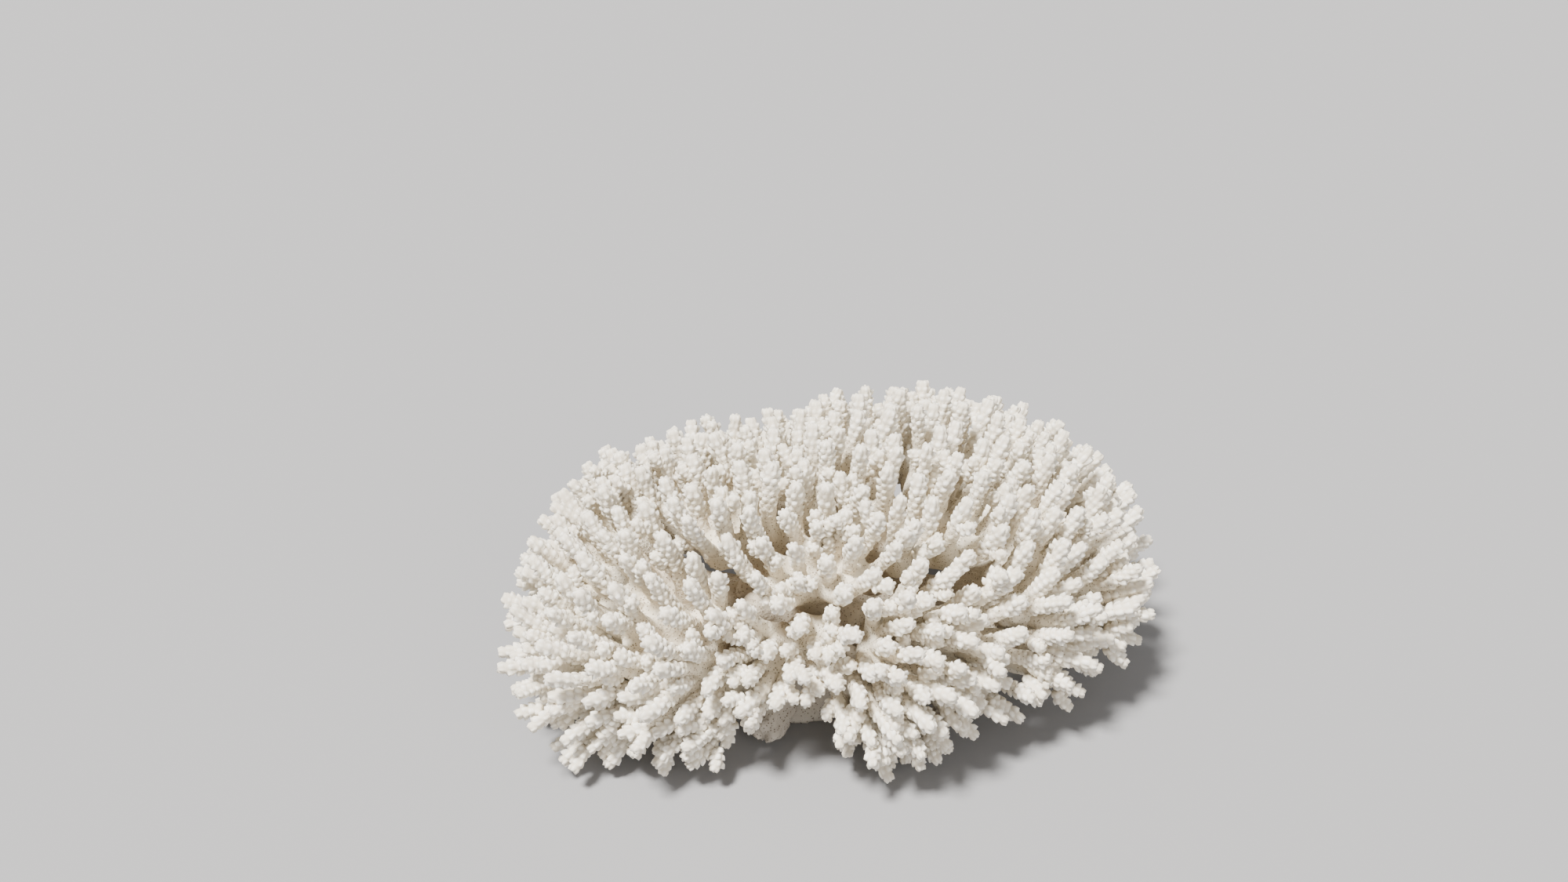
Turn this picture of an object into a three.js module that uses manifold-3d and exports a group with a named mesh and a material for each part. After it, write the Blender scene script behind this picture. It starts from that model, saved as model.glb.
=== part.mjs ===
// A bleached branching coral skeleton, mushroom-shaped, standing on the flat cut of its stalk.
// Units are millimetres. +X is the long side of the crown, the front is -Y, +Z is up.
import * as THREE from 'three';
import { mergeVertices } from 'three/addons/utils/BufferGeometryUtils.js';
import Module from 'manifold-3d';

const wasm = await Module();
wasm.setup();

// The stalk stands on the origin, and every limb grows out of the heart above it.
const heart = new THREE.Vector3(10, -2, 36);
const stalk = { foot: 28, waist: 23.5, head: 22, height: 58, sides: 18 };
const gap = 0.3;

// The crown's outline seen from above, its height over the heart and how far its underside is
// grown, each around the compass: degrees from +X towards +Y. The underside's number is the
// lowest share of the belly depth that fingers reach.
const outline = {
  0: 133, 15: 144, 30: 152, 45: 147, 60: 132, 75: 114, 90: 104, 105: 97, 120: 99, 135: 110,
  150: 122, 165: 123, 180: 122, 195: 124, 210: 120, 225: 96, 240: 73, 255: 61, 270: 58, 285: 71,
  300: 84, 315: 84, 330: 87, 345: 116,
};
const crownHeight = { 0: 80, 60: 83, 120: 76, 180: 76, 240: 74, 300: 76 };
const underside = {
  0: -0.24, 30: -0.16, 90: -0.1, 150: -0.15, 180: -0.25, 195: -0.42, 210: -0.55, 225: -0.5,
  240: -0.36, 255: -0.08, 270: -0.02, 285: -0.34, 300: -0.58, 315: -0.5, 330: -0.3, 345: -0.25,
};
const bellyDepth = 62;

// Fingers stand on the crown at least one spacing apart, on spots picked from a fine spiral.
const spread = { spacing: 11.5, patch: 20, lowest: -0.75, unevenness: 0.045, upright: 0.5, wander: 0.14 };
const finger = { length: 29, spare: 5, baseRadius: 4.3, tipRadius: 2.8, lowestTip: 4.8 };
const branch = { fingers: 5.2, startRadius: 6.2, sideShare: 0.35 };
const limb = { neckRadius: 8.6, forkRadius: 7.4, forkShare: 0.5, clear: 28 };
const meanCrown = { radius: 118, height: 78 };
const goldenAngle = 180 * (3 - Math.sqrt(5));
const seed = 11;

// The main forks: the compass direction and the rise of each limb, in degrees.
const limbs = [
  { name: 'crown_front', azimuth: 262, rise: 60 },
  { name: 'crown_left', azimuth: 176, rise: 64 },
  { name: 'crown_back', azimuth: 90, rise: 62 },
  { name: 'crown_right', azimuth: 6, rise: 60 },
  { name: 'right_limb', azimuth: 4, rise: 16 },
  { name: 'back_right_limb', azimuth: 44, rise: 22 },
  { name: 'back_limb', azimuth: 88, rise: 24 },
  { name: 'back_left_limb', azimuth: 132, rise: 22 },
  { name: 'left_limb', azimuth: 170, rise: 18 },
  { name: 'front_left_limb', azimuth: 208, rise: 26 },
  { name: 'lower_left_limb', azimuth: 214, rise: -14 },
  { name: 'front_limb', azimuth: 263, rise: 20 },
  { name: 'front_right_limb', azimuth: 310, rise: 26 },
  { name: 'lower_front_limb', azimuth: 298, rise: -26 },
  { name: 'lower_right_limb', azimuth: 340, rise: -8 },
];

const stub = { from: [2, -18, 26], to: [-9, -41, 9], startRadius: 8, endRadius: 6.5, sides: 8 };

const coralColour = 0xe4ded0;
const brokenColour = 0xa39a8a;

function direction(azimuth, rise) {
  const turn = THREE.MathUtils.degToRad(azimuth);
  const lift = THREE.MathUtils.degToRad(rise);
  const flat = Math.cos(lift);
  return new THREE.Vector3(flat * Math.cos(turn), flat * Math.sin(turn), Math.sin(lift));
}

// A value around the compass, eased between the two bearings on either side.
function around(table, azimuth) {
  const bearings = Object.keys(table).map(Number);
  const turn = ((azimuth % 360) + 360) % 360;
  const after = bearings.findIndex((bearing) => bearing > turn);
  const next = after < 0 ? 0 : after;
  const last = (next + bearings.length - 1) % bearings.length;
  const span = (bearings[next] - bearings[last] + 360) % 360;
  const share = (turn - bearings[last]) / span;
  const ease = share * share * (3 - 2 * share);
  return table[bearings[last]] * (1 - ease) + table[bearings[next]] * ease;
}

// A repeatable stream of numbers from -1 to 1.
function makeDraw(start) {
  let state = start;
  return () => {
    state = (state * 16807) % 2147483647;
    return (2 * state) / 2147483647 - 1;
  };
}

// Spots over the crown. The height runs from 1 at the top through 0 at the rim to below it, and
// each candidate on the spiral takes an equal patch of the mean crown's area. A candidate is left
// out when a spot that was kept before it is nearer than the spacing.
function spreadOverCrown(start) {
  const draw = makeDraw(start);
  const flatness = meanCrown.height / meanCrown.radius;
  const swing = 1 - flatness * flatness;
  const step = spread.patch / (2 * Math.PI * meanCrown.radius ** 2);
  const spots = [];
  let height = 1;
  for (let count = 0; height > spread.lowest; count += 1) {
    height -= step / Math.sqrt(flatness * flatness + swing * height * height);
    const azimuth = count * goldenAngle + 5 * draw();
    const wander = new THREE.Vector3(draw(), draw(), draw());
    const spot = spotOnCrown(azimuth, height, wander, 1 + spread.unevenness * draw());
    const isCrowded = spots.some((other) => other.tip.distanceTo(spot.tip) < spread.spacing);
    if (height >= around(underside, azimuth) && !isCrowded) {
      spots.push(spot);
    }
  }
  return spots;
}

// One place on the crown, with the way a finger points there: square to the crown's surface, but
// more upright near the top.
function spotOnCrown(azimuth, height, wander, stretch) {
  const reach = around(outline, azimuth);
  const rise = height > 0 ? around(crownHeight, azimuth) : bellyDepth;
  const out = direction(azimuth, 0).multiplyScalar(Math.sqrt(1 - height * height));
  const place = new THREE.Vector3(out.x * reach, out.y * reach, rise * height).multiplyScalar(stretch);
  const aim = new THREE.Vector3(out.x / reach, out.y / reach, height / rise).normalize();
  aim.z += spread.upright * Math.max(height, 0);
  aim.addScaledVector(wander, spread.wander).normalize();
  const deepest = heart.z - finger.lowestTip;
  if (place.z < -deepest) {
    place.multiplyScalar(deepest / -place.z);
  }
  const length = finger.length + finger.spare * 0.5 * (1 + wander.x) + 10 * Math.max(0, 0.5 - height);
  return { tip: place.clone().add(heart), aim, length };
}

// Which of the limbs a place belongs to: the one whose axis lies nearest to its direction.
function nearestLimb(place) {
  const bearing = place.clone().sub(heart).normalize();
  const closeness = limbs.map((each) => direction(each.azimuth, each.rise).dot(bearing));
  return closeness.indexOf(Math.max(...closeness));
}

function nearestSpot(spots, place) {
  const distances = spots.map((spot) => spot.tip.distanceTo(place));
  return distances.indexOf(Math.min(...distances));
}

// The first spot, then again and again the one that stands farthest from all those picked.
function pickFarApart(spots, count) {
  const picked = [spots[0]];
  while (picked.length < count) {
    const gaps = spots.map((spot) => picked[nearestSpot(picked, spot.tip)].tip.distanceTo(spot.tip));
    picked.push(spots[gaps.indexOf(Math.max(...gaps))]);
  }
  return picked;
}

function middle(places) {
  const sum = places.reduce((total, place) => total.add(place), new THREE.Vector3());
  return sum.divideScalar(places.length);
}

// The limbs' skeletons: each limb runs to its fork, its branches run on from there, and each
// branch carries the fingers nearest to one of a few that stand far apart.
function growSkeleton() {
  const fingers = spreadOverCrown(seed);
  return limbs.map((each, index) => {
    const own = fingers.filter((spot) => nearestLimb(spot.tip) === index);
    const picked = pickFarApart(own, Math.round(own.length / branch.fingers));
    const bunches = picked.map((spot, number) => {
      const mine = own.filter((one) => nearestSpot(picked, one.tip) === number);
      const roots = mine.map((one) => one.tip.clone().addScaledVector(one.aim, -one.length));
      return { fingers: mine, end: middle(roots) };
    });
    const reach = middle(bunches.map((bunch) => bunch.end)).sub(heart);
    const forkAt = Math.max(limb.forkShare * reach.length(), limb.clear);
    const fork = reach.setLength(forkAt).add(heart);
    return { name: each.name, fork, bunches };
  });
}

function solidFrom(geometry) {
  const bare = geometry.clone();
  bare.deleteAttribute('normal');
  bare.deleteAttribute('uv');
  const merged = mergeVertices(bare, 1e-4);
  const mesh = new wasm.Mesh({
    numProp: 3,
    vertProperties: new Float32Array(merged.attributes.position.array),
    triVerts: new Uint32Array(merged.index.array),
  });
  return new wasm.Manifold(mesh);
}

function geometryFrom(solid) {
  const mesh = solid.getMesh();
  const geometry = new THREE.BufferGeometry();
  geometry.setAttribute('position', new THREE.BufferAttribute(mesh.vertProperties, 3));
  geometry.setIndex(new THREE.BufferAttribute(mesh.triVerts, 1));
  geometry.computeVertexNormals();
  return geometry;
}

// A tapered rod between two places.
function rod(from, to, startRadius, endRadius, sides) {
  const along = to.clone().sub(from);
  const geometry = new THREE.CylinderGeometry(endRadius, startRadius, along.length(), sides);
  const turn = new THREE.Quaternion().setFromUnitVectors(
    new THREE.Vector3(0, 1, 0), along.clone().normalize());
  geometry.applyQuaternion(turn);
  geometry.translate(...from.clone().addScaledVector(along, 0.5).toArray());
  return solidFrom(geometry);
}

// The stalk: a turned column that leans until its head is round the heart.
function stalkSolid(growth) {
  const profile = [
    [0, -growth], [stalk.foot + growth, -growth], [stalk.waist + 1.8 + growth, 7],
    [stalk.waist + growth, 18], [stalk.head + 1 + growth, 30], [stalk.head + growth, 42],
    [stalk.head * 0.66 + growth, stalk.height - 5], [0, stalk.height + growth],
  ].map(([radius, height]) => new THREE.Vector2(radius, height));
  const geometry = new THREE.LatheGeometry(profile, stalk.sides);
  geometry.rotateX(Math.PI / 2);
  const lean = new THREE.Matrix4().set(
    1, 0, heart.x / heart.z, 0,
    0, 1, heart.y / heart.z, 0,
    0, 0, 1, 0,
    0, 0, 0, 1);
  geometry.applyMatrix4(lean);
  return solidFrom(geometry);
}

// The short limb that broke off under the front of the crown.
function stubSolid(growth) {
  const from = new THREE.Vector3(...stub.from);
  const to = new THREE.Vector3(...stub.to);
  const end = to.clone().add(to.clone().sub(from).setLength(growth));
  return rod(from, end, stub.startRadius + growth, stub.endRadius + growth, stub.sides);
}

function farthestFrom(place, spots) {
  return spots.reduce((best, spot) => (
    spot.tip.distanceTo(place) > best.tip.distanceTo(place) ? spot : best));
}

// A limb's rods: its neck, then for each branch the finger that reaches farthest from the heart,
// drawn from the fork to its tip, and a side finger, the one that stands farthest from it.
function limbRods({ fork, bunches }) {
  const rods = [rod(heart, fork, limb.neckRadius, limb.forkRadius, 7)];
  for (const bunch of bunches) {
    const leader = farthestFrom(heart, bunch.fingers);
    const side = farthestFrom(leader.tip, bunch.fingers);
    rods.push(rod(fork, leader.tip, branch.startRadius, finger.tipRadius, 5));
    if (side !== leader) {
      const start = fork.clone().lerp(leader.tip, branch.sideShare);
      rods.push(rod(start, side.tip, finger.baseRadius, finger.tipRadius, 4));
    }
  }
  return rods;
}

// The part of a limb's solid on its own side of the plane half way to each other limb.
function withinOwnSector(solid, index) {
  const axis = direction(limbs[index].azimuth, limbs[index].rise);
  let kept = solid;
  limbs.forEach((other, number) => {
    if (number !== index) {
      const normal = axis.clone().sub(direction(other.azimuth, other.rise)).normalize();
      kept = kept.trimByPlane(normal.toArray(), normal.dot(heart) + gap / 2);
    }
  });
  return kept;
}

function largestPiece(solid) {
  const pieces = solid.decompose();
  return pieces.reduce((best, piece) => (piece.volume() > best.volume() ? piece : best));
}

function coralMesh(name, solid, colour) {
  const material = new THREE.MeshStandardMaterial({ color: colour, roughness: 0.85, metalness: 0 });
  const mesh = new THREE.Mesh(geometryFrom(solid), material);
  mesh.name = name;
  return mesh;
}

const coral = new THREE.Group();
const keptClear = stalkSolid(gap).add(stubSolid(gap));
coral.add(coralMesh('stalk', stalkSolid(0), coralColour));
coral.add(coralMesh('broken_stub', stubSolid(0).subtract(stalkSolid(gap)), brokenColour));
growSkeleton().forEach((each, index) => {
  const whole = wasm.Manifold.union(limbRods(each));
  const solid = withinOwnSector(whole, index).subtract(keptClear);
  coral.add(coralMesh(each.name, largestPiece(solid), coralColour));
});

export default coral;
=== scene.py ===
import bpy
import numpy as np
from mathutils import Euler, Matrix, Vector


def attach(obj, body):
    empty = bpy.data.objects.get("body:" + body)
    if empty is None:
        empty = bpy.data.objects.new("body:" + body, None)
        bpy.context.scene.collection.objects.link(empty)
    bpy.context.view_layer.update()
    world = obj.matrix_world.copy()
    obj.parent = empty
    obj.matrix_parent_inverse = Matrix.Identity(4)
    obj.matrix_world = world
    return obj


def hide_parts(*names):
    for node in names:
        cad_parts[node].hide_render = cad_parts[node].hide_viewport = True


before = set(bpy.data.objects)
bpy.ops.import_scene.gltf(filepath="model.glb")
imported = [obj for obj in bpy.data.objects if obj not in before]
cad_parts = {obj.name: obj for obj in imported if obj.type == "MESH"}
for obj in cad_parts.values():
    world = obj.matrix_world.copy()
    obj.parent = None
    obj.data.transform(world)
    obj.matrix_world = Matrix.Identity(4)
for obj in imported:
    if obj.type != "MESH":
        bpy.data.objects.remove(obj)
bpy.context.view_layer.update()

mm = 0.001
heart = np.array([10.0, -2.0, 36.0])  # where the limbs meet, in mm as everything up to the meshes

# The crown that the fingertips stand on: its reach and height around the compass, in degrees from +X
# towards +Y, and the lowest level that fingers grow from, as a share of the belly's depth.
crown = {
    "outline": {
        0: 133, 15: 144, 30: 152, 45: 147, 60: 132, 75: 114, 90: 104, 105: 97, 120: 99, 135: 110,
        150: 122, 165: 123, 180: 122, 195: 124, 210: 120, 225: 96, 240: 73, 255: 61, 270: 58,
        285: 71, 300: 84, 315: 84, 330: 87, 345: 116,
    },
    "height": {0: 80, 60: 83, 120: 76, 180: 76, 240: 74, 300: 76},
    "underside": {
        0: -0.24, 30: -0.16, 90: -0.1, 150: -0.15, 180: -0.25, 195: -0.42, 210: -0.55, 225: -0.5,
        240: -0.36, 255: -0.08, 270: -0.02, 285: -0.34, 300: -0.58, 315: -0.5, 330: -0.3, 345: -0.25,
    },
    "bellyDepth": 62,
    "meanRadius": 118,
    "meanHeight": 78,
    "lowestLevel": -0.75,
    "seed": 11,
}

# The compass direction and the rise of each limb, in degrees, under its CAD node's name.
limbAims = {
    "crown_front": (262, 60), "crown_left": (176, 64), "crown_back": (90, 62),
    "crown_right": (6, 60), "right_limb": (4, 16), "back_right_limb": (44, 22),
    "back_limb": (88, 24), "back_left_limb": (132, 22), "left_limb": (170, 18),
    "front_left_limb": (208, 26), "lower_left_limb": (214, -14), "front_limb": (263, 20),
    "front_right_limb": (310, 26), "lower_front_limb": (298, -26), "lower_right_limb": (340, -8),
}

growth = {
    "spacing": 11.5, "spiralPatch": 20,  # between fingertips, and the patch that each try takes
    "unevenness": 0.045, "upright": 0.5, "wander": 0.14,
    "fingerLength": 29, "fingerSpare": 5, "lowStretch": 10, "lowStretchBelow": 0.5, "lowestTip": 4.8,
    "fingersPerBranch": 5.2, "forkShare": 0.5, "forkClear": 28,
    "branchRun": 0.45,  # how far a branch keeps to its limb's direction before it bends
}


def unit(vectors):
    return vectors / np.linalg.norm(vectors, axis=-1, keepdims=True)


def ease(share):
    share = np.clip(share, 0, 1)
    return share * share * (3 - 2 * share)


def direction(azimuth, rise):
    turn, lift = np.broadcast_arrays(np.radians(azimuth), np.radians(rise))
    return np.stack([np.cos(lift) * np.cos(turn), np.cos(lift) * np.sin(turn), np.sin(lift)], -1)


def around(table, azimuth):
    # a value around the compass, eased between the bearings on either side
    bearings = np.array(sorted(table), float)
    values = np.array([table[b] for b in sorted(table)], float)
    turn = np.mod(azimuth, 360)
    after = np.searchsorted(bearings, turn, side="right") % len(bearings)
    last = (after - 1) % len(bearings)
    share = ease((turn - bearings[last]) / np.mod(bearings[after] - bearings[last], 360))
    return values[last] * (1 - share) + values[after] * share


def repeatableDraws(start, count):
    # each state is 16807 times the last one, less whole multiples of 2147483647, spread over -1 to 1
    state, drawn = start, []
    for _ in range(count):
        state = state * 16807 % 2147483647
        drawn.append(2 * state / 2147483647 - 1)
    return np.array(drawn)


def spreadOverCrown(spacing, start):
    # a fine spiral by the golden angle, of which a spot is kept when no kept one is nearer than spacing
    flatness = crown["meanHeight"] / crown["meanRadius"]
    step = growth["spiralPatch"] / (2 * np.pi * crown["meanRadius"] ** 2)
    level, levels = 1.0, []
    while level > crown["lowestLevel"]:
        level -= step / np.sqrt(flatness**2 + (1 - flatness**2) * level**2)
        levels.append(level)
    draws = repeatableDraws(start, 5 * len(levels)).reshape(-1, 5)
    azimuth = np.arange(len(levels)) * 180 * (3 - np.sqrt(5)) + 5 * draws[:, 0]
    height = np.array(levels)
    spots = spotsOnCrown(azimuth, height, draws[:, 1:4], 1 + growth["unevenness"] * draws[:, 4])
    kept = []
    for number in np.flatnonzero(height >= around(crown["underside"], azimuth)):
        gaps = np.linalg.norm(spots["tip"][kept] - spots["tip"][number], axis=1)
        if gaps.min(initial=spacing) >= spacing:
            kept.append(number)
    return {key: values[kept] for key, values in spots.items()}


def spotsOnCrown(azimuth, height, wander, stretch):
    # a point at a level of the crown, and an aim square to its surface but more upright near the top
    reach = around(crown["outline"], azimuth)[:, None]
    rise = np.where(height > 0, around(crown["height"], azimuth), crown["bellyDepth"])
    out = direction(azimuth, 0)[:, :2] * np.sqrt(1 - height**2)[:, None]
    place = np.column_stack([out * reach, rise * height]) * stretch[:, None]
    upright = growth["upright"] * np.maximum(height, 0)
    square = unit(np.column_stack([out / reach, height / rise]))
    aim = unit(square + upright[:, None] * [0, 0, 1] + growth["wander"] * wander)
    deepest = heart[2] - growth["lowestTip"]
    place *= np.minimum(1, deepest / np.maximum(-place[:, 2], 1e-9))[:, None]
    length = growth["fingerLength"] + growth["fingerSpare"] * 0.5 * (1 + wander[:, 0])
    length += growth["lowStretch"] * np.maximum(0, growth["lowStretchBelow"] - height)
    return {"tip": heart + place, "aim": aim, "length": length, "level": height}


def spreadTips(tips, count):
    # the first tip, then again and again the one that stands farthest from all those picked
    gaps = np.linalg.norm(tips[:, None] - tips[None], axis=2)
    picked = [0]
    while len(picked) < count:
        picked.append(int(np.argmax(gaps[:, picked].min(axis=1))))
    return picked


def growSkeleton():
    # fingers go to the limb whose axis is nearest, and inside a limb they share a branch with the
    # nearest of a few tips that stand far apart
    fingers = spreadOverCrown(growth["spacing"], crown["seed"])
    axes = direction(*np.array(list(limbAims.values()), float).T)
    nearest = np.argmax(unit(fingers["tip"] - heart) @ axes.T, axis=1)
    limbs = {}
    for number, name in enumerate(limbAims):
        own = {key: values[nearest == number] for key, values in fingers.items()}
        picked = spreadTips(own["tip"], round(len(own["tip"]) / growth["fingersPerBranch"]))
        gaps = np.linalg.norm(own["tip"][:, None] - own["tip"][picked][None], axis=2)
        bunch = np.argmin(gaps, axis=1)
        roots = own["tip"] - own["aim"] * own["length"][:, None]
        ends = np.array([roots[bunch == each].mean(0) for each in range(bunch.max() + 1)])
        reach = ends.mean(0) - heart
        forkAt = max(growth["forkShare"] * np.linalg.norm(reach), growth["forkClear"])
        limbs[name] = {**own, "bunch": bunch, "ends": ends, "fork": heart + unit(reach) * forkAt}
    return limbs


skeleton = growSkeleton()
print("skeleton:", sum(len(limb["tip"]) for limb in skeleton.values()), "fingers")


def alongCurve(start, bend, end, share):
    # a quadratic curve: (1-t)^2 start + 2t(1-t) bend + t^2 end, for many curves at once
    t = share[..., None]
    start, bend, end = (np.asarray(point)[:, None] for point in (start, bend, end))
    return (1 - t) ** 2 * start + 2 * t * (1 - t) * bend + t**2 * end


def framesAlong(paths):
    # tangents from neighbouring points, and two directions square to them that hardly twist
    tangent = unit(np.gradient(paths, axis=1))
    chord = unit(paths[:, -1] - paths[:, 0])
    steep = np.abs(chord[:, 2:3]) > 0.9
    side = unit(np.cross(chord, np.where(steep, [1.0, 0, 0], [0, 0, 1.0])))[:, None]
    side = unit(side - (side * tangent).sum(-1, keepdims=True) * tangent)
    return tangent, side, np.cross(tangent, side)


def skinGrids(points):
    # rows of rings (grid, row, column, xyz), each grid closed by a point at both ends
    grids, rows, columns = points.shape[:3]
    low, high = points[:, 0].mean(1), points[:, -1].mean(1)
    perGrid = rows * columns + 2
    vertices = np.concatenate([points.reshape(grids, -1, 3), low[:, None], high[:, None]], 1)
    row, column = np.meshgrid(np.arange(rows - 1), np.arange(columns), indexing="ij")
    beside = (column + 1) % columns
    corners = [row * columns + column, row * columns + beside,
               (row + 1) * columns + beside, (row + 1) * columns + column]
    near, nearNext, farNext, far = (corner.ravel() for corner in corners)
    ring = np.arange(columns)
    ringNext = (ring + 1) % columns
    lowTip, highTip, lastRing = perGrid - 2, perGrid - 1, (rows - 1) * columns
    faces = np.concatenate([
        np.stack([near, nearNext, farNext], 1), np.stack([near, farNext, far], 1),
        np.stack([np.full(columns, lowTip), ringNext, ring], 1),
        np.stack([np.full(columns, highTip), lastRing + ring, lastRing + ringNext], 1),
    ])
    # the same corners as places on a unit sheet, where the last column ends at 1
    step = 1 / (rows + 1)
    u, v = column.ravel() / columns, row.ravel() / (rows + 1) + step
    right = u + 1 / columns
    left, leftNext = ring / columns, (ring + 1) / columns
    middle, bottom = left + 0.5 / columns, 0 * left
    sheet = np.concatenate([
        np.stack([u, v, right, v, right, v + step], 1),
        np.stack([u, v, right, v + step, u, v + step], 1),
        np.stack([middle, bottom, leftNext, bottom + step, left, bottom + step], 1),
        np.stack([middle, bottom + 1, left, bottom + 1 - step, leftNext, bottom + 1 - step], 1),
    ]).reshape(-1, 3, 2)
    offsets = (np.arange(grids) * perGrid)[:, None, None]
    return vertices.reshape(-1, 3), (faces[None] + offsets).reshape(-1, 3), sheet


fingerSkin = {
    "cupsAround": 6,  # little cups around a finger
    "cupRows": (9, 12), "longFrom": 42,  # rows of cups on a short finger and on a long one
    "start": 0.36,  # where along the finger the cups begin, or above it
    "radius": 2.6, "tipRadius": 2.0, "thickness": (0.88, 1.15),
    "cupHeight": 1.8, "cupPitch": 2.8, "cupStrength": (0.4, 1.15),
    "twist": 0.09,  # the most that a finger turns from one ring of points to the next
    "lowSlimness": 0.86,  # fingers under the rim are this much slimmer
    "faintest": 0.14, "fullFrom": 0.75,  # how much the lowest cups show, and where they are full
    "tipFades": (0.9, 0.55),  # the last two rows of cups
    "topGap": 0.3,  # from the last ring of points to the tip
    "whiteLength": 40,  # how far below the tip the white is all gone
    "tipLift": 0.4,  # how much of a cup the tip itself counts as
    "sway": 0.16, "leaveStep": 0.12, "mostSteps": 4, "bendShare": 0.6,
    "seed": 5,
}

buds = {
    "chance": 1.1, "lowChance": 2.0, "most": 3,  # side twigs on a finger, and on one low on the crown
    "lowBelow": 0.25, "lowStretch": 1.3,
    "places": (0.48, 0.84),  # where along the finger they start
    "length": (6.5, 11.0), "lowestTip": 3.4,
    "bend": (0.55, 0.2), "end": (0.68, 0.85),  # out from the finger and up it, in lengths of the twig
    "shown": (0.25, 0.97), "roundness": 1.1, "whiteFrom": 0.75,
    "cupsAround": 5, "cupRows": 4, "radius": 2.2, "tipRadius": 1.7, "cupFade": 0.85, "tipFade": 0.5,
}

# A cup from the gap below it to its lip: how far it stands out and how far it leans up the finger, in
# the gap beside it and then twice across it.
cupOut = np.array([[0.0, 0.15, 0.15], [0.1, 0.8, 0.8], [0.15, 1.0, 1.0]])
cupUp = np.array([[0.0, -0.05, -0.05], [0.0, 0.05, 0.05], [0.0, 0.28, 0.28]])
cupSteps, cupColumns = cupOut.shape


def coverWithCups(paths, radius, cupsAround, fade, rng):
    # a point sits at path + (radius + cup height) square to the path + lean along it; each row of cups
    # is moved round by one or two points from the last, and every finger twists a little
    grids, rows = radius.shape
    cupRows, columns = rows // cupSteps, cupColumns * cupsAround
    tangent, side, over = (v[:, :, None] for v in framesAlong(paths))
    strength = rng.uniform(*fingerSkin["cupStrength"], (grids, cupRows, cupsAround))
    strength = strength * fade[:, ::cupSteps, None]
    strength = np.repeat(np.repeat(strength, cupSteps, axis=1), cupColumns, axis=2)
    shifts = np.repeat(np.cumsum(rng.integers(1, 3, cupRows)), cupSteps)[:, None]
    moved = (np.arange(columns) + shifts) % columns
    strength = np.take_along_axis(strength, moved[None], axis=2)
    out = np.take_along_axis(np.tile(cupOut, (cupRows, cupsAround)), moved, axis=1)
    up = np.take_along_axis(np.tile(cupUp, (cupRows, cupsAround)), moved, axis=1)
    turn = 2 * np.pi * np.arange(columns) / columns + rng.uniform(0, 6.28, grids)[:, None, None]
    twist = rng.uniform(-fingerSkin["twist"], fingerSkin["twist"], grids)[:, None, None]
    turn = turn + twist * np.arange(rows)[:, None]
    reach = radius[..., None] + fingerSkin["cupHeight"] * strength * out
    spoke = np.cos(turn)[..., None] * side + np.sin(turn)[..., None] * over
    lean = (fingerSkin["cupPitch"] * strength * up)[..., None] * tangent
    lift = strength * out
    return paths[:, :, None] + reach[..., None] * spoke + lean, lift


def domed(distance, radius):
    # a round end: radius times sqrt(1 - (1 - distance/radius)^2) within one radius of the tip
    near = np.clip(distance / radius, 0, 1)
    return radius * np.sqrt(1 - (1 - near) ** 2)


def fingerCurves(limb):
    # each finger leaves its branch a little before the end, sways a little and bends to its aim
    number = np.zeros(len(limb["tip"]), int)
    for bunch in range(len(limb["ends"])):
        own = np.flatnonzero(limb["bunch"] == bunch)
        spread = np.linalg.norm(limb["tip"][own] - limb["tip"][own].mean(0), axis=1)
        number[own[np.argsort(spread)]] = np.arange(len(own))
    leave = 1 - fingerSkin["leaveStep"] * np.minimum(number, fingerSkin["mostSteps"])
    fork, ends = limb["fork"], limb["ends"][limb["bunch"]]
    bend = branchBend(limb)[limb["bunch"]]
    start = (1 - leave)[:, None] ** 2 * fork + 2 * (leave * (1 - leave))[:, None] * bend
    start += leave[:, None] ** 2 * ends
    length = np.linalg.norm(limb["tip"] - start, axis=1)
    waves = np.array([[0.9, 2.3, 1.1], [1.7, 0.6, 2.9], [2.1, 1.3, 0.4]])
    sway = fingerSkin["sway"] * np.sin(limb["tip"] @ waves)
    middle = limb["tip"] - (limb["aim"] + sway) * (fingerSkin["bendShare"] * length)[:, None]
    return start, middle, limb["tip"], length


def branchBend(limb):
    # a branch leaves the fork the way the limb runs, then turns towards its own end
    run = growth["branchRun"] * unit(limb["fork"] - heart)
    return limb["fork"] + run * np.linalg.norm(limb["ends"] - limb["fork"], axis=1)[:, None]


def cupsBegin(length):
    # how many rows of cups a finger has, and the share of its curve where the lowest one stands
    short, tall = fingerSkin["cupRows"]
    cupRows = np.where(length < fingerSkin["longFrom"], short, tall)
    return cupRows, np.maximum(1 - fingerSkin["cupPitch"] * cupRows / length, fingerSkin["start"])


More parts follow.
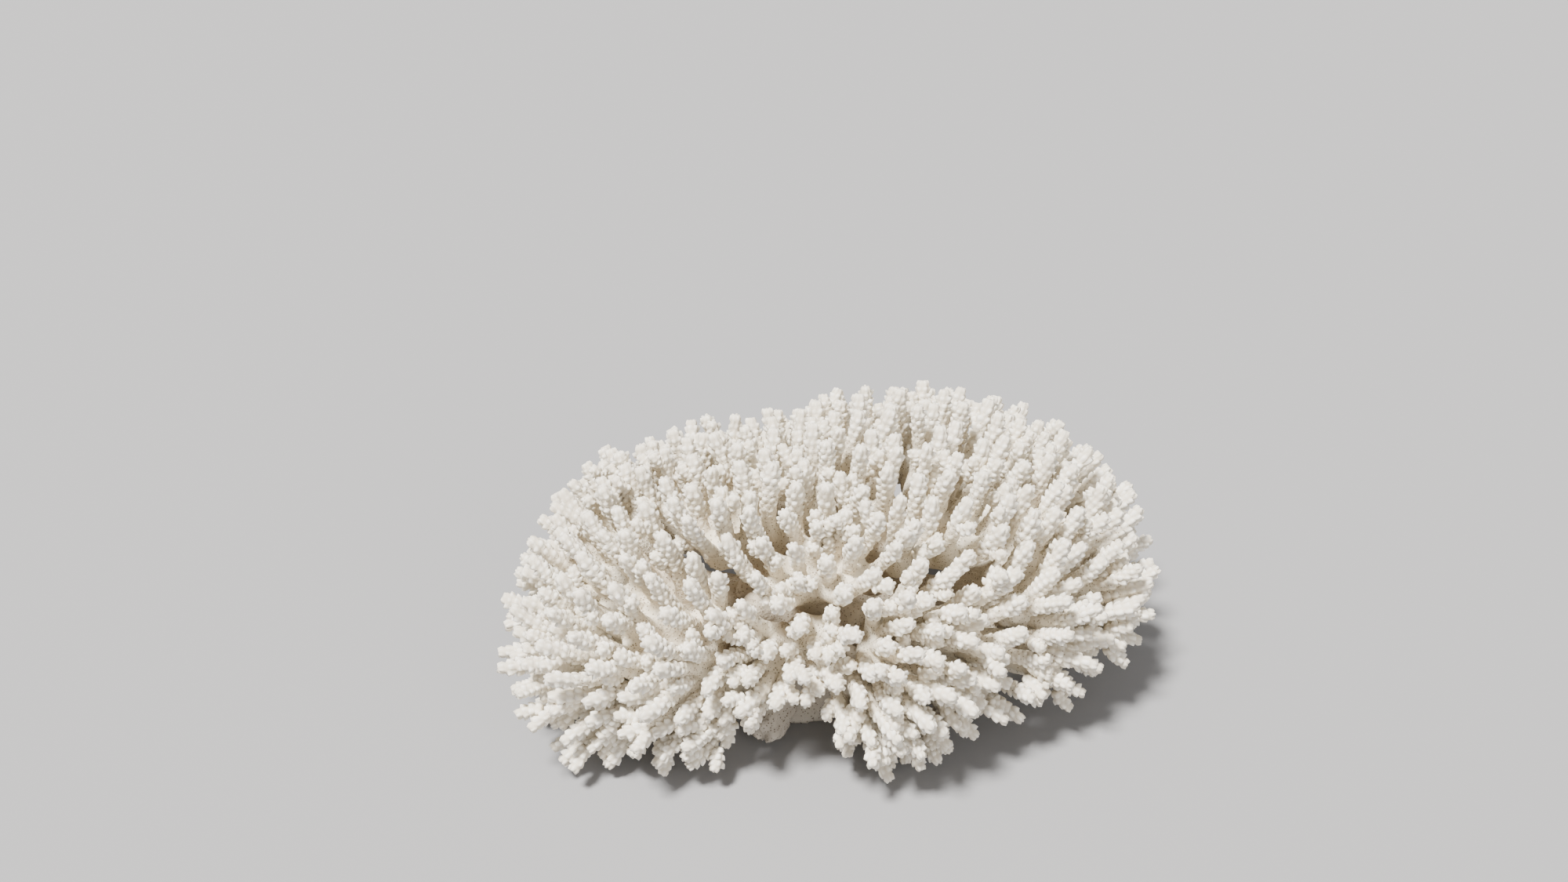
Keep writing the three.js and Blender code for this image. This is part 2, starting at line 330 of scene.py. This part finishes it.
def growCups(limb, cupRows, rng):
    # the upper part of the fingers with so many rows: rings of cups round a finger's curve, closed by
    # a round tip
    start, middle, tip, length = fingerCurves(limb)
    allRows, begin = cupsBegin(length)
    own = allRows == cupRows
    start, middle, tip, length, begin = (values[own] for values in (start, middle, tip, length, begin))
    rows, begin = cupSteps * cupRows, begin[:, None]
    top = 1 - fingerSkin["topGap"] / length[:, None]
    share = begin + (top - begin) * np.linspace(0, 1, rows)[None]
    paths = alongCurve(start, middle, tip, share)
    left = (1 - share) * length[:, None]
    thick = rng.uniform(*fingerSkin["thickness"], (len(length), 1))
    thick *= np.where(limb["level"][own, None] < 0, fingerSkin["lowSlimness"], 1)
    taper = ease((share - begin) / (1 - begin))
    radius = thick * (fingerSkin["radius"] + (fingerSkin["tipRadius"] - fingerSkin["radius"]) * taper)
    radius = domed(left, radius)
    faintest = fingerSkin["faintest"]
    fade = faintest + (1 - faintest) * ease(np.arange(rows) / (fingerSkin["fullFrom"] * rows))
    fade = np.tile(fade, (len(length), 1))
    fade[:, -2 * cupSteps:-cupSteps], fade[:, -cupSteps:] = fingerSkin["tipFades"]
    points, lift = coverWithCups(paths, radius, fingerSkin["cupsAround"], fade, rng)
    vertices, faces, sheet = skinGrids(points)
    white = np.repeat((1 - left / fingerSkin["whiteLength"])[..., None], points.shape[2], axis=2)
    return vertices, faces, sheet, perVertex(lift, fingerSkin["tipLift"]), perVertex(white, 1)


def perVertex(values, tipValue):
    # a number for each ring point, with one more for each of the two closing points
    flat = values.reshape(len(values), -1)
    return np.concatenate([flat, flat[:, :1], np.full((len(flat), 1), tipValue)], 1).ravel()


def growBuds(limb, rng):
    # short side twigs: each starts on its finger's curve, swings out and turns up the finger
    start, middle, tip, length = fingerCurves(limb)
    low = limb["level"] < buds["lowBelow"]
    counts = rng.poisson(np.where(low, buds["lowChance"], buds["chance"]))
    owner = np.repeat(np.arange(len(length)), np.minimum(counts, buds["most"]))
    at = rng.uniform(*buds["places"], len(owner))
    nearby = np.stack([at - 0.02, at, at + 0.02], 1)
    points = alongCurve(start[owner], middle[owner], tip[owner], nearby)
    tangent, side, over = (v[:, 1] for v in framesAlong(points))
    turn = rng.uniform(0, 2 * np.pi, len(owner))[:, None]
    spoke = np.cos(turn) * side + np.sin(turn) * over
    reach = rng.uniform(*buds["length"], len(owner))[:, None]
    reach = np.where(low[owner, None], buds["lowStretch"], 1) * reach
    root = points[:, 1]
    bend, end = (root + out * reach * spoke + up * reach * tangent
                 for out, up in (buds["bend"], buds["end"]))
    end[:, 2] = np.maximum(end[:, 2], buds["lowestTip"])
    rows = cupSteps * buds["cupRows"]
    share = np.tile(np.linspace(*buds["shown"], rows), (len(owner), 1))
    paths = alongCurve(root, bend, end, share)
    slim = buds["tipRadius"] - buds["radius"]
    radius = domed((1 - share) * reach * buds["roundness"], buds["radius"] + slim * share)
    atTip = np.arange(rows) >= rows - cupSteps
    fade = np.tile(np.where(atTip, buds["tipFade"], buds["cupFade"]), (len(owner), 1))
    cups, lift = coverWithCups(paths, radius, buds["cupsAround"], fade, rng)
    vertices, faces, sheet = skinGrids(cups)
    white = buds["whiteFrom"] + (1 - buds["whiteFrom"]) * share[..., None]
    white = np.repeat(white, cups.shape[2], axis=2)
    return vertices, faces, sheet, perVertex(lift, fingerSkin["tipLift"]), perVertex(white, 1)


tubes = {
    "sides": 14, "steps": 10,
    "neckRadii": (9.2, 8.2), "neckStart": 0.3,  # from this share of the way to the fork
    "branchRadii": (7.0, 5.2),
    "stemRadii": (4.4, 4.2, 3.95, 3.75, 2.0),  # the lower part of a finger
    "stemSunk": 0.14,  # how far it runs on inside the cups, as a share of the finger
    "voxel": 1.55, "softening": 6,
}


def sweepTubes(start, middle, end, radii, reach=1.0):
    # a ring of points round each step of a curve, as far along it as reach, with the radius read off
    steps = np.linspace(0, 1, tubes["steps"])
    paths = alongCurve(start, middle, end, np.outer(reach * np.ones(len(start)), steps))
    tangent, side, over = (v[:, :, None] for v in framesAlong(paths))
    radius = np.interp(steps, np.linspace(0, 1, len(radii)), radii)
    turn = np.linspace(0, 2 * np.pi, tubes["sides"], endpoint=False)[None, None, :, None]
    return paths[:, :, None] + radius[None, :, None, None] * (np.cos(turn) * side + np.sin(turn) * over)


def plainMesh(name, vertices, faces):
    mesh = bpy.data.meshes.new(name)
    mesh.vertices.add(len(vertices))
    mesh.vertices.foreach_set("co", (vertices * mm).astype(np.float32).ravel())
    mesh.loops.add(faces.size)
    mesh.loops.foreach_set("vertex_index", faces.astype(np.int32).ravel())
    mesh.polygons.add(len(faces))
    mesh.polygons.foreach_set("loop_start", np.arange(0, faces.size, 3, dtype=np.int32))
    mesh.polygons.foreach_set("use_smooth", np.ones(len(faces), bool))
    mesh.update(calc_edges=True)
    return mesh


def weld(name, grids, voxel, softening):
    # joins tubes that run through each other into one skin and smooths its forks
    parts = [skinGrids(points)[:2] for points in grids]
    vertices = np.concatenate([part[0] for part in parts])
    shifts = np.cumsum([0] + [len(part[0]) for part in parts[:-1]])
    faces = np.concatenate([part[1] + shift for part, shift in zip(parts, shifts)])
    rough = bpy.data.objects.new(name, plainMesh(name, vertices, faces))
    bpy.context.scene.collection.objects.link(rough)
    remesh = rough.modifiers.new("weld", "REMESH")
    remesh.mode, remesh.voxel_size = "VOXEL", voxel * mm
    smooth = rough.modifiers.new("soften", "SMOOTH")
    smooth.factor, smooth.iterations = 0.5, softening
    welded = bpy.data.meshes.new_from_object(rough.evaluated_get(bpy.context.evaluated_depsgraph_get()))
    bpy.data.objects.remove(rough)
    return welded


def unwrapped(mesh):
    # the mesh as plain arrays, with a sheet laid out by Blender's own unwrapping
    flat = bpy.data.objects.new(mesh.name, mesh)
    bpy.context.scene.collection.objects.link(flat)
    bpy.context.view_layer.objects.active = flat
    flat.select_set(True)
    bpy.ops.object.mode_set(mode="EDIT")
    bpy.ops.mesh.select_all(action="SELECT")
    bpy.ops.mesh.quads_convert_to_tris()
    bpy.ops.uv.smart_project(angle_limit=1.15, island_margin=0.003)
    bpy.ops.object.mode_set(mode="OBJECT")
    vertices = np.zeros(len(mesh.vertices) * 3)
    mesh.vertices.foreach_get("co", vertices)
    faces = np.zeros(len(mesh.loops), int)
    mesh.loops.foreach_get("vertex_index", faces)
    sheet = np.zeros(len(mesh.loops) * 2)
    mesh.uv_layers.active.uv.foreach_get("vector", sheet)
    bpy.data.objects.remove(flat)
    return vertices.reshape(-1, 3) / mm, faces.reshape(-1, 3), sheet.reshape(-1, 3, 2)


def growCore(name, limb):
    # the smooth inside of a limb: its neck, its branches and the lower part of its fingers
    start, middle, tip, length = fingerCurves(limb)
    fork, ends = limb["fork"][None], limb["ends"]
    neckStart = heart + tubes["neckStart"] * (fork - heart)
    neck = sweepTubes(neckStart, (neckStart + fork) / 2, fork, tubes["neckRadii"])
    forks = np.repeat(fork, len(ends), axis=0)
    branches = sweepTubes(forks, branchBend(limb), ends, tubes["branchRadii"])
    stemEnds = cupsBegin(length)[1] + tubes["stemSunk"]
    stems = sweepTubes(start, middle, tip, tubes["stemRadii"], stemEnds)
    return unwrapped(weld(name, [neck, branches, stems], tubes["voxel"], tubes["softening"]))


def crownShare(vertices):
    # 0 at the heart and 1 on the crown's surface in the same direction
    out = vertices - heart
    azimuth = np.degrees(np.arctan2(out[:, 1], out[:, 0]))
    reach = around(crown["outline"], azimuth)
    rise = np.where(out[:, 2] > 0, around(crown["height"], azimuth), crown["bellyDepth"])
    return np.sqrt((out[:, 0] ** 2 + out[:, 1] ** 2) / reach**2 + out[:, 2] ** 2 / rise**2)


coreSheetWidth = 0.56  # the inside of a limb takes this much of its sheet, and the cups take the rest


def layOut(sheet, first, grids, left, bottom, width, height, columns):
    # copies of one grid's sheet in rows of cells from the first on, each with a narrow free rim
    number = first + np.arange(grids)
    column, row = number % columns, number // columns
    corner = np.stack([left + column * width, bottom + row * height], 1)[:, None, None]
    inside = 0.03 + 0.94 * sheet[None]
    return (corner + inside * [width, height]).reshape(-1, 3, 2)


def makeLimb(name, limb, number):
    rng = np.random.default_rng([fingerSkin["seed"], number])
    core = growCore(name, limb)
    cups = [growCups(limb, cupRows, rng) for cupRows in fingerSkin["cupRows"]]
    twigs = growBuds(limb, rng)
    fingers, twigCount = len(limb["tip"]), len(twigs[1]) // len(twigs[2])
    width = 1 - coreSheetWidth
    columns = int(np.ceil(np.sqrt(width * (fingers + twigCount / 4))))
    cellRows = int(np.ceil(fingers / columns))
    height = 1 / (cellRows + np.ceil(twigCount / (2 * columns)) / 2)
    sheets, first = [core[2] * [coreSheetWidth - 0.01, 1]], 0
    for _, faces, sheet, _, _ in cups:
        count = len(faces) // len(sheet)
        sheets.append(layOut(sheet, first, count, coreSheetWidth, 0, width / columns, height, columns))
        first += count
    sheets.append(layOut(twigs[2], 0, twigCount, coreSheetWidth, cellRows * height,
                         width / columns / 2, height / 2, 2 * columns))
    # half the crown share serves as the inside's white, so the shader paints shade on it deep in the
    # crown
    parts = [(*core, np.zeros(len(core[0])), 0.5 * crownShare(core[0])), *cups, twigs]
    shifts = np.cumsum([0] + [len(part[0]) for part in parts[:-1]])
    vertices, lift, white = (np.concatenate([part[key] for part in parts]) for key in (0, 3, 4))
    faces = np.concatenate([part[1] + shift for part, shift in zip(parts, shifts)])
    return finishPiece(name, vertices, faces, np.concatenate(sheets), lift, white)


def finishPiece(name, vertices, faces, sheet, lift, white):
    mesh = plainMesh(name + "_coral", vertices, faces)
    mesh.uv_layers.new(name="OFBake").uv.foreach_set("vector", sheet.astype(np.float32).ravel())
    for key, values in (("lift", lift), ("white", white)):
        layer = mesh.attributes.new(key, "FLOAT", "POINT")
        layer.data.foreach_set("value", values.astype(np.float32))
    piece = bpy.data.objects.new(name + "_coral", mesh)
    bpy.context.scene.collection.objects.link(piece)
    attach(piece, "root")
    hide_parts(name)
    return piece


stalk = {
    "profile": {0: 28, 7: 25.3, 18: 23.5, 30: 23, 42: 22, 50: 17, 55: 10, 58: 3},  # height: radius
    "rows": 40, "columns": 64,
    "ribs": ((5, 0.05, 0.6), (9, 0.03, 2.0), (14, 0.018, 4.1)),  # how many, how deep, turned by
    "ribPitch": 30,
    "socketRadii": (9.6, 9.0, 8.2, 6.0), "socketLength": 34,
    "voxel": 1.5, "softening": 14, "footSunk": 0.9,
}


def growStalk():
    # rings round an upright that leans to the heart, with ribs that run up it, and a socket for each limb
    heights = np.linspace(0, max(stalk["profile"]), stalk["rows"])
    turn = np.linspace(0, 2 * np.pi, stalk["columns"], endpoint=False)[None]
    radius = np.interp(heights, list(stalk["profile"]), list(stalk["profile"].values()))[:, None]
    rise = heights[:, None] / stalk["ribPitch"]
    ribs = sum(depth * np.sin(count * turn + shift + rise) for count, depth, shift in stalk["ribs"])
    spoke = np.stack([np.cos(turn), np.sin(turn), 0 * turn], -1)
    centre = heights[:, None] * (heart / heart[2])[None]
    column = centre[:, None] + (radius * (1 + ribs))[..., None] * spoke
    ways = direction(*np.array(list(limbAims.values()), float).T)
    start, end = np.repeat(heart[None], len(ways), axis=0), heart + stalk["socketLength"] * ways
    sockets = sweepTubes(start, (start + end) / 2, end, stalk["socketRadii"])
    welded = weld("stalk", [column[None], sockets], stalk["voxel"], stalk["softening"])
    vertices, faces, sheet = unwrapped(welded)
    vertices[:, 2] = np.where(vertices[:, 2] < stalk["footSunk"], 0, vertices[:, 2])
    # half the crown share serves as white, so the stalk takes painted shade near the heart
    white = 0.5 * crownShare(vertices)
    return finishPiece("stalk", vertices, faces, sheet, np.zeros(len(vertices)), white)


stub = {
    "start": (2, -18, 26), "end": (-9.5, -43.5, 7.5), "radii": (8, 7.6, 7.0, 6.6),
    "rows": 44, "columns": 48,
    "breakFrom": 0.9, "breakDepth": 0.9,  # where the end pulls in, and how much of its area goes
    "jagFrom": 0.6, "jags": ((2, 1.3, 0.7), (5, 0.7, 2)),  # the break's steps: how many, far, turned by
}


def growStub():
    # a short tube whose skin is lumpy, and whose end is broken off in steps rather than rounded
    start, end = np.array([stub["start"]], float), np.array([stub["end"]], float)
    steps = np.linspace(0, 1, stub["rows"])
    paths = alongCurve(start, (start + end) / 2, end, steps[None])
    tangent, side, over = (v[:, :, None] for v in framesAlong(paths))
    turn = np.linspace(0, 2 * np.pi, stub["columns"], endpoint=False)[None, None]
    step = steps[None, :, None]
    lumps = 0.07 * np.sin(3 * turn + 9 * step) + 0.05 * np.sin(7 * turn - 14 * step + 1)
    lumps = lumps + 0.04 * np.sin(11 * turn + 31 * step) * np.sin(5 * turn - 23 * step)
    radius = np.interp(steps, np.linspace(0, 1, 4), stub["radii"])[None, :, None] * (1 + lumps)
    inwards = np.clip((step - stub["breakFrom"]) / (1 - stub["breakFrom"]), 0, 1)
    radius = radius * np.sqrt(1 - stub["breakDepth"] * inwards**2)
    jag = sum(far * np.sin(count * turn + shift) for count, far, shift in stub["jags"])
    jag = np.clip((step - stub["jagFrom"]) / (1 - stub["jagFrom"]), 0, 1) * jag
    spoke = np.cos(turn)[..., None] * side + np.sin(turn)[..., None] * over
    points = paths[:, :, None] + radius[..., None] * spoke + jag[..., None] * tangent
    vertices, faces, sheet = skinGrids(points)
    zeros = np.zeros(len(vertices))
    return finishPiece("broken_stub", vertices, faces, sheet, zeros, zeros)


class Wire:
    # a shader socket that adds a Math node for each sum, difference or product

    def __init__(self, paint, socket):
        self.paint, self.socket = paint, socket

    def maths(self, operation, *others):
        wires = [other.socket if isinstance(other, Wire) else other for other in (self, *others)]
        return self.paint.add("ShaderNodeMath", {"operation": operation}, dict(enumerate(wires)))

    def reversed(self, operation, other):
        return self.paint.add("ShaderNodeMath", {"operation": operation}, {0: other, 1: self.socket})

    def __add__(self, other): return self.maths("ADD", other)
    def __sub__(self, other): return self.maths("SUBTRACT", other)
    def __mul__(self, other): return self.maths("MULTIPLY", other)
    def __radd__(self, other): return self.reversed("ADD", other)
    def __rsub__(self, other): return self.reversed("SUBTRACT", other)
    def __rmul__(self, other): return self.reversed("MULTIPLY", other)


class Paint:
    # a material's node tree, with one method that adds any node

    def __init__(self, name):
        self.material = bpy.data.materials.new(name)
        self.material.use_nodes = True
        self.tree = self.material.node_tree
        self.tree.nodes.clear()

    def add(self, kind, settings, inputs, output=0):
        node = self.tree.nodes.new(kind)
        for key, value in settings.items():
            setattr(node, key, value)
        for key, value in inputs.items():
            value = value.socket if isinstance(value, Wire) else value
            if isinstance(value, bpy.types.NodeSocket):
                self.tree.links.new(value, node.inputs[key])
            else:
                node.inputs[key].default_value = value
        return Wire(self, node.outputs[output]) if len(node.outputs) else None

    def blend(self, factor, low, high, kind="MIX"):
        settings = {"data_type": "RGBA", "blend_type": kind}
        return self.add("ShaderNodeMix", settings, {0: factor, 6: low, 7: high}, 2)

    def noise(self, place, scale, detail):
        inputs = {"Vector": place, "Scale": scale, "Detail": detail}
        return self.add("ShaderNodeTexNoise", {}, inputs, "Fac")

    def slope(self, value, low, high):
        # 0 below low, 1 above high, eased between them
        inputs = {"Value": value, "From Min": low, "From Max": high}
        return self.add("ShaderNodeMapRange", {"interpolation_type": "SMOOTHSTEP"}, inputs)


# The darkest colours are painted shade: the one for deep in the crown partly, beside the coral's own tan,
# and those for the gaps between cups and for the pores wholly.
coralLooks = {
    "white_coral": {
        "deep_tan_and_shade": (0.38, 0.31, 0.22, 1), "cream": (0.78, 0.72, 0.60, 1), "tip": (0.98, 0.94, 0.85, 1),
        "valley_shade": (0.56, 0.48, 0.36, 1), "stain": (0.80, 0.68, 0.52, 1), "pore": (0.22, 0.175, 0.12, 1),
        "roughness": 0.82,
    },
    "stalk_coral": {
        "deep_tan_and_shade": (0.55, 0.48, 0.38, 1), "cream": (0.80, 0.745, 0.65, 1), "tip": (0.88, 0.84, 0.76, 1),
        "valley_shade": (0.55, 0.46, 0.34, 1), "stain": (0.66, 0.56, 0.43, 1), "pore": (0.22, 0.175, 0.12, 1),
        "roughness": 0.88,
    },
    "broken_coral": {
        "deep_tan_and_shade": (0.44, 0.395, 0.335, 1), "cream": (0.46, 0.41, 0.345, 1), "tip": (0.56, 0.51, 0.44, 1),
        "valley_shade": (0.30, 0.25, 0.19, 1), "stain": (0.80, 0.765, 0.70, 1), "pore": (0.12, 0.10, 0.075, 1),
        "roughness": 0.9,
    },
}


coralGrain = {
    "patchScale": 38.0, "grainScale": 1500.0, "poreScale": 850.0,
    "stained": 0.45, "valley_shade_strength": 0.5, "pores": 0.85,  # how strongly each colour shows
    "grainHeight": 0.3, "knobHeight": 0.5, "poreDepth": 1.1, "bump": 0.6, "bumpDistance": 0.0004,
}


def paintCoral(slotName):
    # cream that goes tan and darker in the depths of the crown, partly the coral's own tan and partly
    # painted shade, and white at the tips, with painted shade in the gaps between cups and in the pores
    # where no cups stand
    look = coralLooks[slotName]
    paint = Paint(slotName)
    place = paint.add("ShaderNodeTexCoord", {}, {}, "Object")
    white = paint.add("ShaderNodeAttribute", {"attribute_name": "white"}, {}, "Fac")
    lift = paint.add("ShaderNodeAttribute", {"attribute_name": "lift"}, {}, "Fac")
    patches = paint.noise(place, coralGrain["patchScale"], 3.0)
    grain = paint.noise(place, coralGrain["grainScale"], 2.0)
    spots = {"Vector": place, "Scale": coralGrain["poreScale"]}
    cells = paint.add("ShaderNodeTexVoronoi", {}, spots, "Distance")
    bare = (1 - paint.slope(lift, 0.1, 0.45)) * (1 - paint.slope(white, 0.7, 0.88))
    pore = (1 - paint.slope(cells, 0.19, 0.3)) * bare
    # painted shade: low white, deep in the crown and low on the fingers, takes the darker colour, which
    # is partly the coral's own tan
    colour = paint.blend(paint.slope(white, 0.12, 0.42), look["deep_tan_and_shade"], look["cream"])
    colour = paint.blend(paint.slope(patches, 0.5, 0.75) * coralGrain["stained"], colour, look["stain"])
    # the coral's own white towards the finger tips, with painted light that makes the cups' raised crests
    # whiter than the gaps between them
    tipping = paint.slope(white, 0.4, 0.9) * (0.45 + lift * 0.6)
    colour = paint.blend(tipping, colour, look["tip"])
    # painted shade: a darker tan in the low gaps between the cups, on the outer parts of the fingers
    valley_shade = (1 - paint.slope(lift, 0.0, 0.7)) * paint.slope(white, 0.4, 0.6)
    colour = paint.blend(valley_shade * coralGrain["valley_shade_strength"], colour, look["valley_shade"])
    # painted shade: dark dots in the pores that stand in for the shade inside their pits
    colour = paint.blend(pore * coralGrain["pores"], colour, look["pore"])
    knobs = (1 - paint.slope(cells, 0.3, 0.75)) * bare
    height = grain * coralGrain["grainHeight"] + knobs * coralGrain["knobHeight"]
    bump = paint.add("ShaderNodeBump", {}, {
        "Height": height - pore * coralGrain["poreDepth"],
        "Strength": coralGrain["bump"], "Distance": coralGrain["bumpDistance"]})
    shader = paint.add("ShaderNodeBsdfPrincipled", {}, {
        "Base Color": colour, "Roughness": look["roughness"], "Normal": bump, "Specular IOR Level": 0.3})
    paint.add("ShaderNodeOutputMaterial", {}, {"Surface": shader})
    return paint.material


def makeCoral():
    stalkPiece, stubPiece = growStalk(), growStub()
    looks = {slotName: paintCoral(slotName) for slotName in coralLooks}
    pieces = [(stalkPiece, "stalk_coral"), (stubPiece, "broken_coral")]
    for number, (name, limb) in enumerate(skeleton.items()):
        pieces.append((makeLimb(name, limb, number), "white_coral"))
        print(name, len(pieces[-1][0].data.polygons), "triangles")
    for piece, slotName in pieces:
        piece.data.materials.append(looks[slotName])
    return pieces


studio = {
    "floorSize": 40.0, "floorColour": (0.27, 0.27, 0.28, 1),
    "skyColour": (1.0, 0.98, 0.95, 1), "sky": 0.5,
    "lamps": {  # name: where it shines from, how strong, how soft in degrees, which colour
        "key": ((-0.5, -0.45, 1.5), 11.5, 12, (1.0, 0.975, 0.93)),
        "fill": ((0.9, -1.2, 0.8), 0.9, 40, (1.0, 0.985, 0.97)),
    },
}


def setStudio():
    half = studio["floorSize"] / 2
    corners = [(-half, -half, 0), (half, -half, 0), (half, half, 0), (-half, half, 0)]
    mesh = bpy.data.meshes.new("floor")
    mesh.from_pydata(corners, [], [(0, 1, 2, 3)])
    floor = bpy.data.objects.new("floor", mesh)
    bpy.context.scene.collection.objects.link(floor)
    paint = Paint("floor")
    look = {"Base Color": studio["floorColour"], "Roughness": 0.9}
    shader = paint.add("ShaderNodeBsdfPrincipled", {}, look)
    paint.add("ShaderNodeOutputMaterial", {}, {"Surface": shader})
    mesh.materials.append(paint.material)
    world = bpy.data.worlds.new("studio")
    world.use_nodes = True
    world.node_tree.nodes["Background"].inputs["Color"].default_value = studio["skyColour"]
    world.node_tree.nodes["Background"].inputs["Strength"].default_value = studio["sky"]
    bpy.context.scene.world = world
    for name, (place, strength, softness, tint) in studio["lamps"].items():
        light = bpy.data.lights.new(name, "SUN")
        light.energy, light.angle, light.color = strength, np.radians(softness), tint
        lamp = bpy.data.objects.new(name, light)
        lamp.location = place
        lamp.rotation_euler = Vector(place).to_track_quat("Z", "Y").to_euler()
        bpy.context.scene.collection.objects.link(lamp)


view = {"distance": 0.62, "lookDown": 38.0, "lens": 35.0, "aimAbove": 6.5, "aimLeft": 1.5}


def setCamera():
    # the camera looks down on the heart, which lies a little below and right of where it aims
    down = np.radians(view["lookDown"])
    place = heart * mm + view["distance"] * np.array([0, -np.cos(down), np.sin(down)])
    camera = bpy.data.objects.new("camera", bpy.data.cameras.new("camera"))
    camera.data.lens = view["lens"]
    camera.location = place
    tilt = np.radians(90 - view["lookDown"] + view["aimAbove"])
    camera.rotation_euler = Euler((tilt, 0, np.radians(view["aimLeft"])))
    bpy.context.scene.collection.objects.link(camera)
    bpy.context.scene.camera = camera


setStudio()
setCamera()
pieces = makeCoral()
print("coral:", sum(len(piece.data.polygons) for piece, _ in pieces), "triangles")
